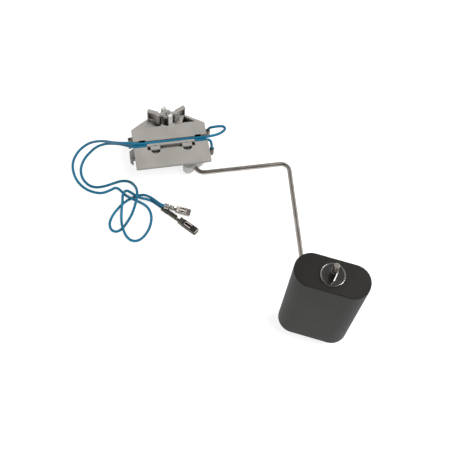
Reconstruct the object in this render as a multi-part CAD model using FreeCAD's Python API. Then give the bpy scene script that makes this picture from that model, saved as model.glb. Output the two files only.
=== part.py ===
import math
import os

import FreeCAD
import Part

V = FreeCAD.Vector

# Fuel level sender: a resistive sensor body with a swinging float arm.
# Frame: origin on the pivot axis at the flat back face, +Z along the pivot
# axis out of the wire face, +Y from the wire face toward the pivot tower.
# All lengths are millimetres and all angles are degrees.

# Float arm: one bent steel wire
arm_dia = 2.7
arm_z = 8.0
arm_bend_radius = 5.0
arm_end_bend_radius = 3.5
arm_tip_drop = 0.2
arm_tip_round = 0.3
pivot_tip_round = 0.9
lever_angle = -59.6
lever_reach = 31.6
run_one_angle = -0.5
run_one_length = 54.0
run_two_angle = -95.3
run_two_length = 103.8
running_gap = 0.05
press_gap = 0.01

# Float and its retaining nut
float_length = 37.4
float_width = 18.1
float_height = 61.7
float_corner_radius = 8.7
float_edge_radius = 0.7
float_angle = -25.9
float_lift = 4.0
nut_dia = 12.3
nut_thick = 0.5
nut_rim = 0.35
nut_lift = 0.2
nut_hub_dia = 3.5
nut_hub_height = 4.6
pin_proud = 11.2
stake_height = 5.6
stake_width = 0.7
stake_depth = 0.3

# Wiper lever
lever_below = 2.4
lever_above = 3.4
lever_setback = 4.4
hub_radius = 4.6
hub_rise = 0.6
stem_half_width = 3.6
head_left = 6.0
head_right = 8.2
head_length = 4.2
flare_length = 3.5
head_left_radius = 3.0
head_right_radius = 2.2
lever_edge_radius = 0.4
tube_drop = 8.5
finger_gap = 0.3
finger_thick = 0.85
finger_half_angle = 22.0
rear_finger_half_angle = 27.0
finger_root = 0.5
finger_tip_radius = 0.35
hook_reach = 0.45
hook_gap = 0.3
front_hook_height = 1.2
rear_hook_height = 2.2

# Wiper spring with its contacts and rivets
spring_thick = 0.25
spring_start = 6.0
spring_length = 4.0
spring_half_width = 3.0
spring_tip_height = 1.35
spring_toe = 1.0
prong_offset = 1.8
prong_width = 1.2
inner_track_radius = 13.6
outer_track_radius = 18.2
contact_radius = 0.5
contact_height = 0.6
contact_edge_radius = 0.15
contact_gap = 0.05
rivet_setback = 1.6
rivet_offset = 2.0
rivet_shank_radius = 0.55
rivet_head_radius = 1.0
rivet_head_height = 0.4
rivet_head_round = 0.2
rivet_depth = 2.0

# Front housing: flat wire face with a pivot tower behind it
shell_half_width = 20.8
shell_front = -24.5
shell_back = -5.0
shell_height = 11.0
shell_wall = 1.5
shell_roof = 1.7
face_thick = 1.6
face_overhang = 0.8
face_front = -31.4
face_back = -4.4
face_corner_radius = 0.9
face_edge_radius = 0.35
roof_half_width = 11.0
roof_back = 2.4
roof_pad_drop = 9.0
roof_pad_inset = 0.3
roof_pad_side = 1.0
recess_depth = 2.4
recess_margin = 0.5
recess_width = 7.4
recess_rim = 1.4
slope_width = 13.5
slope_depth = 5.6
pocket_depth = 8.0
pocket_front = 1.2
pocket_setback = 2.7
pocket_length = 5.2
pocket_rim = 0.7
pocket_back = 1.0

# Wire groove across the face, its lip and the moulding openings beside it
lead_dia = 1.6
lead_gap = 0.2
lead_upper_y = -14.2
lead_fit = 0.02
groove_cover = 0.3
groove_side_gap = 0.06
groove_mouth_gap = 0.5
groove_mouth_start = 14.2
lip_end_gap = 0.4
lip_gap = 0.05
lip_rise = 0.4
lip_reach = 1.15
slot_land = 0.4
slot_width = 2.5
slot_depth = 2.6
tongue_inner = 6.4
tongue_width = 5.6
half_hole_gap = 0.05
half_hole_depth = 2.9
window_land = 0.4
window_length = 3.5
window_width = 1.3
window_overlap = 0.5
window_depth = 5.0
window_lean = 3.2

# Pivot tower
tower_rise = 6.5
boss_wall = 1.3
ring_depth = 1.6
boss_chamfer = 0.6
well_gap = 0.4
well_side_gap = 0.65
well_wall = 1.2
well_wall_rise = 1.1
well_wall_drop = 14.0
bridge_half_width = 0.9
bridge_depth = 1.4
post_width = 1.8
post_half_depth = 1.1
post_foot = 7.0
wing_start = 0.4
wing_reach = 0.7
wing_overlap = 0.7
wing_foot = 1.0
wing_front = 0.75
wing_rear = 1.6
wing_end_radius = 0.4
wing_panel_depth = 1.5
wing_panel_drop = 0.6
wing_panel_slope = 1.6
wing_rim = 0.8
wing_inner_rim = 1.8

# Side clips
clip_reach = 3.2
clip_near = -13.2
clip_width = 3.0
clip_lift = 0.6
clip_gap = 0.7
clip_height = 5.05
clip_slope = 2.6
side_root = 0.2
rib_reach = 3.2
rib_near = -4.8
rib_width = 2.6
rib_drop = 2.4
rib_height = 5.6
rib_tail_thick = 1.8
rib_pocket = 1.2
rib_pocket_wall = 0.4
rib_pocket_depth = 4.0

# Resistor card
card_thick = 1.0
card_left_setback = 1.6
card_right_reach = 0.6
card_front_setback = 0.5
card_back_reach = 1.6
card_notch_gap = 1.25

# Contact lugs on the card's right edge
lug_thick = 0.4
lug_half_width = 1.6
lug_shelf_half_width = 0.9
lug_jaw = 0.5
lug_reach = 2.6
lug_barrel_wall = 0.5
lug_floor = 1.0
lead_seat = 0.6
upper_lug_y = -4.8
upper_lug_height = 4.4
lower_lug_y = -18.7
lower_lug_height = 5.6

# Rear cover
cover_thick = 2.4
cover_inset = 0.3
cover_front = -13.5
cover_back = 7.0
cover_corner_radius = 2.0
cover_wall = 1.6
cover_wall_front = -12.5
cover_wall_back = -1.0
thrust_pad_radius = 4.0
thrust_gap = 0.3
snap_arm_bottom = 7.4
snap_arm_thick = 1.8
snap_link_height = 3.0
snap_notch_depth = 0.8
snap_notch_width = 1.2
snap_notch_height = 2.4

# Crimp terminals: a long one on the upper lead, a short one resting across it
long_length = 25.6
long_insulation_end = 4.2
long_wire_end = 10.4
long_box_start = 12.8
long_sleeve_length = 9.4
long_window_length = 3.4
long_tip = (8.5, -63.0)
long_angle = -46.9
long_lift = 0.0
long_roll = 0.0
short_length = 15.8
short_insulation_end = 2.6
short_wire_end = 5.8
short_box_start = 7.2
short_sleeve_length = 6.2
short_window_length = 2.4
short_tip = (6.4, -49.8)
short_angle = -20.0
short_lift = 3.3
short_roll = 10.0
terminal_width = 3.6
terminal_height = 2.6
terminal_sheet = 0.35
terminal_box_back = 1.0
terminal_web_half_width = 0.9
terminal_saddle_half_width = 0.7
crimp_space = 0.6
crimp_seam = 0.3
crimp_spread = 0.35
insulation_wall = 0.45
wire_wall = 0.3
sleeve_sheet = 0.2
sleeve_setback = 0.6
sleeve_edge_radius = 0.45
sleeve_window_start = 1.5
sleeve_window_half_width = 0.7
lance_start = 0.4
lance_length = 0.8
lance_half_width = 0.8
lance_height = 0.25
lead_floor_gap = 0.05
lead_end_gap = 0.6
long_lead_straight = 2.6
short_lead_straight = 1.2

# Heights that follow from the stack of lever, spring, card and housing
lever_bottom = arm_z - lever_below
lever_top = arm_z + lever_above
hub_top = lever_top + hub_rise
contact_bottom = lever_top + spring_tip_height
contact_top = contact_bottom + contact_height
card_bottom = contact_top + contact_gap
card_top = card_bottom + card_thick
face_under = card_top + shell_height
face_top = face_under + face_thick
tower_top = face_top + tower_rise
boss_bottom = tower_top - ring_depth
bridge_bottom = tower_top - bridge_depth
tube_top = face_top - tube_drop
hook_bottom = tower_top + hook_gap
recess_floor = face_top - recess_depth
slope_floor = face_top - slope_depth
roof_pad_bottom = face_top - roof_pad_drop
well_wall_bottom = face_top - well_wall_drop
well_wall_top = face_top + well_wall_rise
clip_split = card_top + clip_lift
snap_arm_top = clip_split
float_bottom = arm_z + float_lift
float_top = float_bottom + float_height

# Widths and radii that follow from the wire, the pivot and the shell
arm_radius = arm_dia / 2
bore_radius = arm_radius + running_gap
boss_radius = bore_radius + boss_wall
finger_inner = boss_radius + finger_gap
finger_outer = finger_inner + finger_thick
hook_inner = boss_radius - hook_reach
well_radius = finger_outer + well_gap
well_half_width = finger_outer + well_side_gap
post_outer = well_half_width + post_width
wing_inner = (post_outer - wing_overlap, wing_start)
wing_outer = (roof_half_width, roof_back + wing_reach)
lever_end = lever_reach - lever_setback
flare_end = lever_end - head_length
flare_start = flare_end - flare_length
spring_base_end = spring_start + spring_length
rivet_s = spring_start + rivet_setback
face_half_width = shell_half_width + face_overhang
clip_outer = shell_half_width + clip_reach
clip_far = clip_near - clip_width
rib_outer = shell_half_width + rib_reach
rib_far = rib_near - rib_width
card_left = -shell_half_width + card_left_setback
card_right = shell_half_width + card_right_reach
card_front = shell_front + card_front_setback
card_back = shell_back + card_back_reach
card_notch_radius = finger_outer + card_notch_gap
cover_half_width = shell_half_width - cover_inset
lug_barrel_x = card_right + lug_reach

# Groove and openings that follow from the leads
lead_radius = lead_dia / 2
lead_lower_y = lead_upper_y - lead_dia - lead_gap
groove_floor = face_top - groove_cover - lead_dia - lead_fit
groove_back = lead_upper_y + lead_radius + groove_side_gap
groove_front = lead_lower_y - lead_radius - groove_side_gap
lead_z = groove_floor + lead_radius + lead_fit
lip_half_length = groove_mouth_start - lip_end_gap
slot_near = groove_front - slot_land
slot_far = slot_near - slot_width
tongue_outer = tongue_inner + tongue_width
half_hole_radius = tongue_width / 2 - half_hole_gap
window_inner = groove_mouth_start + window_land
window_outer = window_inner + window_length
window_near = groove_back - window_overlap
window_far = window_near + window_width
lead_height = sleeve_sheet + terminal_sheet + lead_floor_gap + lead_radius
lip_bottom = face_top - groove_cover + lip_gap


def box(x0, x1, y0, y1, z0, z1):
    return Part.makeBox(x1 - x0, y1 - y0, z1 - z0, V(x0, y0, z0))


def cyl(x, y, z0, z1, radius):
    return Part.makeCylinder(radius, z1 - z0, V(x, y, z0))


def prism(points, z0, z1):
    loop = [V(x, y, z0) for x, y in points]
    face = Part.Face(Part.makePolygon(loop + loop[:1]))
    return face.extrude(V(0, 0, z1 - z0))


def fuse(shapes):
    return shapes[0].multiFuse(shapes[1:]).removeSplitter()


def turned(shape, angle, x=0.0, y=0.0):
    copy = shape.copy()
    copy.rotate(V(0, 0, 0), V(0, 0, 1), angle)
    copy.translate(V(x, y, 0))
    return copy


def polar(radius, angle):
    turn = math.radians(angle)
    return V(radius * math.cos(turn), radius * math.sin(turn), 0)


def mirrored_x(shape):
    return shape.mirror(V(0, 0, 0), V(1, 0, 0))


def upright_edges(shape):
    return [e for e in shape.Edges if e.BoundBox.ZLength > 0.2
            and e.BoundBox.XLength < 1e-6 and e.BoundBox.YLength < 1e-6]


def top_edges(shape):
    top = shape.BoundBox.ZMax
    return [e for e in shape.Edges if e.BoundBox.ZMin > top - 1e-6]


def outline_of(points, radii):
    """A wire of straight runs joined by tangent arcs, one radius per inner point."""
    pieces = []
    start = points[0]
    for i in range(1, len(points) - 1):
        back = (points[i - 1] - points[i]).normalize()
        ahead = (points[i + 1] - points[i]).normalize()
        half_turn = (math.pi - back.getAngle(ahead)) / 2
        reach = radii[i - 1] * math.tan(half_turn)
        middle = (back + ahead).normalize()
        centre = points[i] + middle * (radii[i - 1] / math.cos(half_turn))
        enter = points[i] + back * reach
        leave = points[i] + ahead * reach
        crown = centre - middle * radii[i - 1]
        pieces.append(Part.LineSegment(start, enter).toShape())
        pieces.append(Part.Arc(enter, crown, leave).toShape())
        start = leave
    pieces.append(Part.LineSegment(start, points[-1]).toShape())
    return Part.Wire(pieces)


def rod(points, radii, radius):
    """A round rod swept along straight runs and tangent arcs."""
    path = outline_of(points, radii)
    heading = points[1] - points[0]
    ring = Part.Wire(Part.makeCircle(radius, points[0], heading))
    solid = path.makePipeShell([ring], True, True)
    return solid, path.Length


def lead_radii(points):
    """The largest easy bend at each point of a lead's route."""
    radii = []
    for i in range(1, len(points) - 1):
        back = points[i - 1] - points[i]
        ahead = points[i + 1] - points[i]
        half_turn = (math.pi - back.getAngle(ahead)) / 2
        short_run = min(back.Length, ahead.Length)
        radii.append(0.45 * short_run / math.tan(half_turn))
    return radii


def lead(name, route):
    points = [V(*p) for p in route]
    radii = lead_radii(points)
    solid, length = rod(points, radii, lead_radius)
    section = math.pi * lead_radius ** 2
    print(name, "radii", [round(r, 1) for r in radii])
    print(name, "length", round(length, 1), "volume ratio", round(solid.Volume / (section * length), 4))
    return solid


# Front housing

def face_plate():
    corners = [(-face_half_width, face_front), (face_half_width, face_front),
               (face_half_width, face_back), (roof_half_width, roof_back),
               (-roof_half_width, roof_back), (-face_half_width, face_back)]
    plate = prism(corners, face_under, face_top)
    plate = plate.makeFillet(face_corner_radius, upright_edges(plate))
    return plate.makeFillet(face_edge_radius, top_edges(plate))


def shell():
    outside = box(-shell_half_width, shell_half_width, shell_front, shell_back, card_top, face_under)
    inner_half = shell_half_width - shell_wall
    ceiling = groove_floor - shell_roof
    inside = box(-inner_half, inner_half, shell_front + shell_wall, shell_back - shell_wall,
                 card_top - 1, ceiling)
    return outside.cut(inside)


def roof_pad():
    slope = (roof_back - face_back) / (face_half_width - roof_half_width)
    side = shell_half_width - roof_pad_side
    back = roof_back - roof_pad_inset
    side_back = back - slope * (side - roof_half_width)
    corners = [(-side, shell_back), (side, shell_back), (side, side_back),
               (roof_half_width, back), (-roof_half_width, back), (-side, side_back)]
    return prism(corners, roof_pad_bottom, face_under)


def groove_cut():
    middle = box(-groove_mouth_start, groove_mouth_start, groove_front, groove_back,
                 groove_floor, face_top + 1)
    wide = []
    for side in (-1, 1):
        x0 = min(side * groove_mouth_start, side * (face_half_width + 1))
        x1 = max(side * groove_mouth_start, side * (face_half_width + 1))
        wide.append(box(x0, x1, groove_front - groove_mouth_gap, groove_back + groove_mouth_gap,
                        groove_floor, face_top + 1))
    return fuse([middle] + wide)


def groove_lip():
    return box(-lip_half_length, lip_half_length, slot_near, groove_front + lip_reach,
               lip_bottom, face_top + lip_rise)


def slot_cuts():
    floor = face_top - slot_depth
    cuts = [box(-tongue_inner, tongue_inner, slot_far, slot_near, floor, face_top + 1)]
    hole_x = (tongue_inner + tongue_outer) / 2
    for side in (-1, 1):
        x0 = min(side * tongue_outer, side * lip_half_length)
        x1 = max(side * tongue_outer, side * lip_half_length)
        cuts.append(box(x0, x1, slot_far, slot_near, floor, face_top + 1))
        hole = cyl(side * hole_x, slot_far, face_top - half_hole_depth, face_top + 1, half_hole_radius)
        tongue = box(side * hole_x - 4, side * hole_x + 4, slot_far, slot_near, floor, face_top + 2)
        cuts.append(hole.cut(tongue))
        cuts.append(leaning_window(side))
    return cuts


def leaning_window(side):
    x0 = min(side * window_inner, side * window_outer)
    floor = face_top - window_depth
    profile = [V(x0, window_near, face_top + 1), V(x0, window_far, face_top + 1), V(x0, window_far, face_top),
               V(x0, window_far + window_lean, floor), V(x0, window_near, floor)]
    opening = Part.Face(Part.makePolygon(profile + profile[:1]))
    return opening.extrude(V(window_length, 0, 0))


def wing_direction():
    run = V(wing_outer[0] - wing_inner[0], wing_outer[1] - wing_inner[1], 0)
    return math.degrees(math.atan2(run.y, run.x)), run.Length


def wing_panel(length):
    outer = length - wing_rim
    high = tower_top - wing_rim
    low = face_top - wing_panel_drop
    y = -wing_front - 1
    profile = [V(wing_inner_rim, y, low - wing_panel_slope), V(outer, y, low),
               V(outer, y, high), V(wing_inner_rim, y, high)]
    panel = Part.Face(Part.makePolygon(profile + profile[:1]))
    return panel.extrude(V(0, 1 + wing_panel_depth, 0))


def right_wing():
    angle, length = wing_direction()
    wall = box(0, length, -wing_front, wing_rear, slope_floor - wing_foot, tower_top)
    wall = wall.cut(wing_panel(length))
    ends = [e for e in upright_edges(wall) if e.BoundBox.XMin > length - 1e-6]
    wall = wall.makeFillet(wing_end_radius, ends)
    return turned(wall, angle, wing_inner[0], wing_inner[1])


def sloped_recess(outer, width, floor):
    near = face_back + recess_margin
    inner = well_half_width - recess_margin
    corners = [(inner, near), (width, near), (outer, roof_back - recess_margin),
               (inner, near + boss_radius)]
    footprint = prism(corners, floor, face_top + 1)
    profile = [V(width, near, face_top), V(inner, near, floor),
               V(inner, near, face_top + 1), V(width, near, face_top + 1)]
    ramp = Part.Face(Part.makePolygon(profile + profile[:1]))
    return footprint.common(ramp.extrude(V(0, roof_back - near, 0)))


def right_recess():
    return sloped_recess(roof_half_width - recess_rim, recess_width, recess_floor)


def left_recess():
    return mirrored_x(sloped_recess(roof_half_width - wing_end_radius, slope_width, slope_floor))


def corner_pocket():
    near = face_back + pocket_front
    corners = [(roof_half_width - pocket_setback, near), (roof_half_width + pocket_length, near),
               (roof_half_width - pocket_rim, roof_back - pocket_back)]
    return prism(corners, face_top - pocket_depth, face_top + 1)


def well_cut():
    round_front = cyl(0, 0, roof_pad_bottom - 1, face_top + 1, well_radius)
    back = box(-well_half_width, well_half_width, -boss_radius, roof_back + 2,
               roof_pad_bottom - 1, face_top + 1)
    return fuse([round_front, back])


def well_wall_ring():
    ring = cyl(0, 0, well_wall_bottom, well_wall_top, well_radius + well_wall)
    ring = ring.cut(cyl(0, 0, well_wall_bottom - 1, well_wall_top + 1, well_radius))
    reach = well_radius + well_wall + 1
    return ring.common(box(-reach, reach, 0, reach, well_wall_bottom, well_wall_top))


def tower():
    boss = cyl(0, 0, boss_bottom, tower_top, boss_radius)
    pieces = [boss]
    for side in (-1, 1):
        x0 = min(side * bore_radius, side * post_outer)
        x1 = max(side * bore_radius, side * post_outer)
        pieces.append(box(x0, x1, -bridge_half_width, bridge_half_width, bridge_bottom, tower_top))
        x0 = min(side * well_half_width, side * post_outer)
        x1 = max(side * well_half_width, side * post_outer)
        pieces.append(box(x0, x1, -post_half_depth, post_half_depth,
                          face_top - post_foot, tower_top))
    wing = right_wing()
    return fuse(pieces + [wing, mirrored_x(wing)])


def pivot_bore():
    bore = cyl(0, 0, boss_bottom - 1, tower_top + 1, bore_radius)
    sink = Part.makeCone(bore_radius, bore_radius + boss_chamfer, boss_chamfer,
                         V(0, 0, tower_top - boss_chamfer))
    return fuse([bore, sink])


def side_features():
    root = -shell_half_width + side_root
    clip_bottom = clip_split + clip_gap
    clip = box(-clip_outer, root, clip_far, clip_near, clip_bottom, clip_bottom + clip_height)
    crest = [e for e in top_edges(clip) if e.BoundBox.XMax < -clip_outer + 1e-6]
    clip = clip.makeChamfer(clip_slope, crest)
    rib = box(-rib_outer, root, rib_far, rib_near, card_top + side_root, card_top + rib_height)
    tail = box(-rib_outer, -rib_outer + rib_tail_thick, rib_far, rib_near,
               card_top - rib_drop, card_top + side_root)
    pocket_x = -rib_outer + rib_pocket_wall
    pocket_y = (rib_near + rib_far) / 2
    pocket = box(pocket_x, pocket_x + rib_pocket, pocket_y - rib_pocket / 2, pocket_y + rib_pocket / 2,
                 card_top + rib_height - rib_pocket_depth, card_top + rib_height + 1)
    return [clip, rib.cut(pocket), tail]


def front_housing():
    body = fuse([face_plate(), shell(), roof_pad()])
    body = body.cut(groove_cut())
    body = body.fuse(groove_lip())
    recesses = [right_recess(), left_recess(), corner_pocket()]
    for tool in slot_cuts() + recesses:
        body = body.cut(tool)
    body = body.cut(well_cut())
    body = fuse([body, well_wall_ring(), tower()] + side_features())
    return body.cut(pivot_bore()).removeSplitter()


# Rear cover

def rear_cover():
    corners = [(-cover_half_width, cover_front), (cover_half_width, cover_front),
               (cover_half_width, cover_back), (-cover_half_width, cover_back)]
    base = prism(corners, 0, cover_thick)
    base = base.makeFillet(cover_corner_radius, upright_edges(base))
    inner = cover_half_width - cover_wall
    walls = [box(inner, cover_half_width, cover_wall_front, cover_wall_back, 0, card_bottom),
             box(-cover_half_width, -inner, cover_wall_front, cover_wall_back, 0, card_bottom)]
    pad = cyl(0, 0, 0, lever_bottom - thrust_gap, thrust_pad_radius)
    arm_back = clip_near + snap_arm_thick
    arm = box(-clip_outer, -clip_outer + snap_arm_thick, clip_far, arm_back, snap_arm_bottom, snap_arm_top)
    link = box(-clip_outer, -cover_half_width + side_root, clip_near - side_root, arm_back,
               snap_arm_bottom, snap_arm_bottom + snap_link_height)
    notch = box(-clip_outer - 1, -clip_outer + snap_notch_depth, clip_far - 1, clip_far + snap_notch_width,
                snap_arm_bottom - 1, snap_arm_bottom + snap_notch_height)
    return fuse([base, pad, arm, link] + walls).cut(notch)


# Resistor card and its contact lugs

def resistor_card():
    card = box(card_left, card_right, card_front, card_back, card_bottom, card_top)
    return card.cut(cyl(0, 0, card_bottom - 1, card_top + 1, card_notch_radius))


def contact_lug(y, height):
    barrel_top = card_top + height
    y0 = y - lug_half_width
    y1 = y + lug_half_width
    jaw = card_right - lug_jaw
    outside = card_right + lug_thick
    upper = box(jaw, outside, y0, y1, card_top, card_top + lug_thick)
    lower = box(jaw, outside, y0, y1, card_bottom - lug_thick, card_bottom)
    back = box(card_right, outside, y0, y1, card_bottom - lug_thick, card_top + lug_thick)
    shelf = box(card_right, lug_barrel_x, y - lug_shelf_half_width, y + lug_shelf_half_width,
                card_top, card_top + lug_thick)
    outer = lead_radius + lug_barrel_wall
    barrel = cyl(lug_barrel_x, y, card_top, barrel_top, outer)
    lug = fuse([upper, lower, back, shelf, barrel])
    return lug.cut(cyl(lug_barrel_x, y, card_top + lug_floor, barrel_top + 1, lead_radius + lead_fit))


# Wiper lever, built along +X and turned to the arm's angle

def finger(angle, hook_height, half_angle):
    foot = tube_top - finger_root
    top = hook_bottom + hook_height
    wedge = Part.makeCylinder(finger_outer, top - foot, V(0, 0, foot), V(0, 0, 1), 2 * half_angle)
    wedge.rotate(V(0, 0, 0), V(0, 0, 1), angle - half_angle)
    shank = wedge.cut(cyl(0, 0, foot - 1, hook_bottom, finger_inner))
    shank = shank.cut(cyl(0, 0, hook_bottom - 0.1, top + 1, hook_inner))
    return shank.makeFillet(finger_tip_radius, top_edges(shank))


def wire_slot():
    radius = arm_radius + press_gap
    slot = box(0, lever_end + 1, -radius, radius, lever_bottom - 1, arm_z)
    round_top = Part.makeCylinder(radius, lever_end + 1, V(0, 0, arm_z), V(1, 0, 0))
    bend = box(-radius, arm_end_bend_radius, -radius, radius, lever_bottom - 1, hub_top)
    bore = cyl(0, 0, lever_bottom, tube_top + 1, radius)
    return fuse([slot, round_top, bend, bore])


def lever_head():
    points = [(0, -stem_half_width), (flare_start, -stem_half_width), (flare_end, -head_left),
              (lever_end, -head_left), (lever_end, head_right), (flare_end, head_right),
              (flare_start, stem_half_width), (0, stem_half_width)]
    head = prism(points, lever_bottom, lever_top)
    for side, radius in ((-1, head_left_radius), (1, head_right_radius)):
        corner = [e for e in upright_edges(head)
                  if e.BoundBox.XMin > lever_end - 1e-6 and side * e.BoundBox.YMin > 0]
        head = head.makeFillet(radius, corner)
    rim = [e for e in top_edges(head) if e.BoundBox.XMax > 1.0]
    return head.makeFillet(lever_edge_radius, rim)


def wiper_lever():
    hub = cyl(0, 0, lever_bottom, hub_top, hub_radius)
    tube = cyl(0, 0, hub_top - 0.5, tube_top, finger_outer)
    body = fuse([hub, tube, lever_head()])
    front = finger(0, front_hook_height, finger_half_angle)
    rear = finger(180, rear_hook_height, rear_finger_half_angle)
    body = fuse([body, front, rear])
    body = body.cut(wire_slot())
    for side in (-1, 1):
        body = body.cut(cyl(rivet_s, side * rivet_offset, lever_top - rivet_depth, lever_top + 1,
                            rivet_shank_radius + press_gap))
    return turned(body, lever_angle)


def spring_prong(offset, track_radius):
    low = lever_top
    tip = contact_bottom - spring_thick
    start = spring_base_end - contact_radius
    rise_end = track_radius - contact_radius
    toe = track_radius + spring_toe
    profile = [(start, low), (spring_base_end, low), (rise_end, tip), (toe, tip),
               (toe, contact_bottom), (rise_end, contact_bottom),
               (spring_base_end, low + spring_thick), (start, low + spring_thick)]
    loop = [V(s, offset - prong_width / 2, z) for s, z in profile]
    face = Part.Face(Part.makePolygon(loop + loop[:1]))
    return face.extrude(V(0, prong_width, 0))


def wiper_spring():
    base = box(spring_start, spring_base_end, -spring_half_width, spring_half_width,
               lever_top, lever_top + spring_thick)
    plate = fuse([base, spring_prong(-prong_offset, inner_track_radius),
                  spring_prong(prong_offset, outer_track_radius)])
    for side in (-1, 1):
        plate = plate.cut(cyl(rivet_s, side * rivet_offset, lever_top - 1, lever_top + 1,
                              rivet_shank_radius + press_gap))
    return turned(plate, lever_angle)


def wiper_contact(offset, radius):
    button = cyl(radius, offset, contact_bottom, contact_top, contact_radius)
    button = button.makeFillet(contact_edge_radius, top_edges(button))
    return turned(button, lever_angle)


def spring_rivet(side):
    seat = lever_top + spring_thick
    shank = cyl(rivet_s, side * rivet_offset, lever_top - rivet_depth, seat + rivet_head_height / 2,
                rivet_shank_radius)
    head = cyl(rivet_s, side * rivet_offset, seat, seat + rivet_head_height, rivet_head_radius)
    head = head.makeFillet(rivet_head_round, top_edges(head))
    return turned(fuse([shank, head]), lever_angle)


# Float arm, float and retaining nut

def arm_points():
    elbow = polar(lever_reach, lever_angle) + V(0, 0, arm_z)
    corner = elbow + polar(run_one_length, run_one_angle)
    foot = corner + polar(run_two_length, run_two_angle)
    pin_top = V(foot.x, foot.y, float_top + pin_proud)
    return [V(0, 0, tower_top - arm_tip_drop), V(0, 0, arm_z), elbow, corner, foot, pin_top]


def float_axis():
    foot = arm_points()[4]
    return foot.x, foot.y


def flat_ring(edge, z):
    bounds = edge.BoundBox
    return abs(bounds.ZMin - z) < 1e-6 and abs(bounds.ZMax - z) < 1e-6


def float_arm():
    radii = [arm_end_bend_radius, arm_bend_radius, arm_bend_radius, arm_end_bend_radius]
    wire, length = rod(arm_points(), radii, arm_radius)
    x, y = float_axis()
    stake = float_top + stake_height
    ring = cyl(x, y, stake, stake + stake_width, arm_dia)
    ring = ring.cut(cyl(x, y, stake - 1, stake + stake_width + 1, arm_radius - stake_depth))
    wire = wire.cut(ring)
    end = [e for e in wire.Edges if e.BoundBox.ZMin > float_top + pin_proud - 1e-6]
    wire = wire.makeFillet(arm_tip_round, end)
    pivot_tip = tower_top - arm_tip_drop
    end = [e for e in wire.Edges if flat_ring(e, pivot_tip)]
    wire = wire.makeFillet(pivot_tip_round, end)
    print("float arm length", round(length, 1), "float axis", round(x, 2), round(y, 2))
    return wire


def float_body():
    half_length = float_length / 2
    half_width = float_width / 2
    block = box(-half_length, half_length, -half_width, half_width, float_bottom, float_top)
    block = block.makeFillet(float_corner_radius, upright_edges(block))
    rims = [e for e in block.Edges if e.BoundBox.ZLength < 1e-6]
    block = block.makeFillet(float_edge_radius, rims)
    block = block.cut(cyl(0, 0, float_bottom - 1, float_top + 1, bore_radius))
    x, y = float_axis()
    return turned(block, float_angle, x, y)


def push_nut():
    x, y = float_axis()
    bottom = float_top + nut_lift
    disc = cyl(x, y, bottom, bottom + nut_thick, nut_dia / 2 - nut_rim)
    rim = Part.makeTorus(nut_dia / 2 - nut_rim, nut_rim, V(x, y, bottom + nut_rim))
    hub_top = bottom + nut_thick + nut_hub_height
    hub = cyl(x, y, bottom, hub_top, nut_hub_dia / 2)
    hub = hub.makeFillet(nut_rim / 2, top_edges(hub))
    nut = fuse([disc, rim, hub])
    return nut.cut(cyl(x, y, bottom - 1, hub_top + 1, arm_radius + press_gap))


# Crimp terminals, built along +X from the insulation crimp to the mouth

def terminal_seat(length, tip, angle, lift, roll):
    """Mouth on the surface at its tip point, crimp end raised by the lift."""
    tilt = math.degrees(math.asin(lift / length))
    turn = FreeCAD.Rotation(V(0, 0, 1), angle).multiply(FreeCAD.Rotation(V(0, 1, 0), tilt))
    turn = turn.multiply(FreeCAD.Rotation(V(1, 0, 0), roll))
    corner = (terminal_width / 2 + sleeve_sheet) * math.sin(math.radians(abs(roll)))
    at_tip = FreeCAD.Placement(V(tip[0], tip[1], corner), turn)
    return at_tip.multiply(FreeCAD.Placement(V(-length, 0, 0), FreeCAD.Rotation()))


def seated(shape, seat):
    copy = shape.copy()
    copy.Placement = seat
    return copy


def long_edges(block):
    return [e for e in block.Edges if e.BoundBox.YLength < 1e-6 and e.BoundBox.ZLength < 1e-6]


def crimp_barrel(x0, x1, wall):
    saddle_half = terminal_saddle_half_width
    radius = lead_radius + wall
    left = Part.makeCylinder(radius, x1 - x0, V(x0, crimp_spread, lead_height), V(1, 0, 0))
    right = Part.makeCylinder(radius, x1 - x0, V(x0, -crimp_spread, lead_height), V(1, 0, 0))
    middle = box(x0, x1, -crimp_spread, crimp_spread, lead_height - radius, lead_height + radius)
    saddle = box(x0, x1, -saddle_half, saddle_half, sleeve_sheet, lead_height)
    return fuse([left, right, middle, saddle])


def top_window(x0, length, z0, z1):
    half = sleeve_window_half_width
    return box(x0, x0 + length, -half, half, z0, z1)


def terminal_body(length, insulation_end, wire_end, box_start, sleeve_length, window_length):
    half = terminal_width / 2
    floor = sleeve_sheet
    top = floor + terminal_height
    inner = half - terminal_sheet
    hollow_start = box_start + terminal_box_back
    web = box(0, hollow_start, -terminal_web_half_width, terminal_web_half_width,
              floor, floor + terminal_sheet)
    socket = box(box_start, length, -half, half, floor, top)
    socket = socket.makeFillet(sleeve_edge_radius - sleeve_sheet, long_edges(socket))
    hollow = box(hollow_start, length + 1, -inner, inner, floor + terminal_sheet, top - terminal_sheet)
    insulation = crimp_barrel(0, insulation_end, insulation_wall)
    wire = crimp_barrel(insulation_end + crimp_space, wire_end, wire_wall)
    body = fuse([web, insulation, wire, socket.cut(hollow)])
    bore = Part.makeCylinder(lead_radius + lead_fit, wire_end + 1, V(-1, 0, lead_height), V(1, 0, 0))
    seam = box(-1, wire_end + crimp_space, -crimp_seam / 2, crimp_seam / 2, lead_height, top + 1)
    body = body.cut(bore).cut(seam)
    window_start = length - sleeve_setback - sleeve_length + sleeve_window_start
    return body.cut(top_window(window_start, window_length, top - 2 * terminal_sheet, top + 1))


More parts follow.
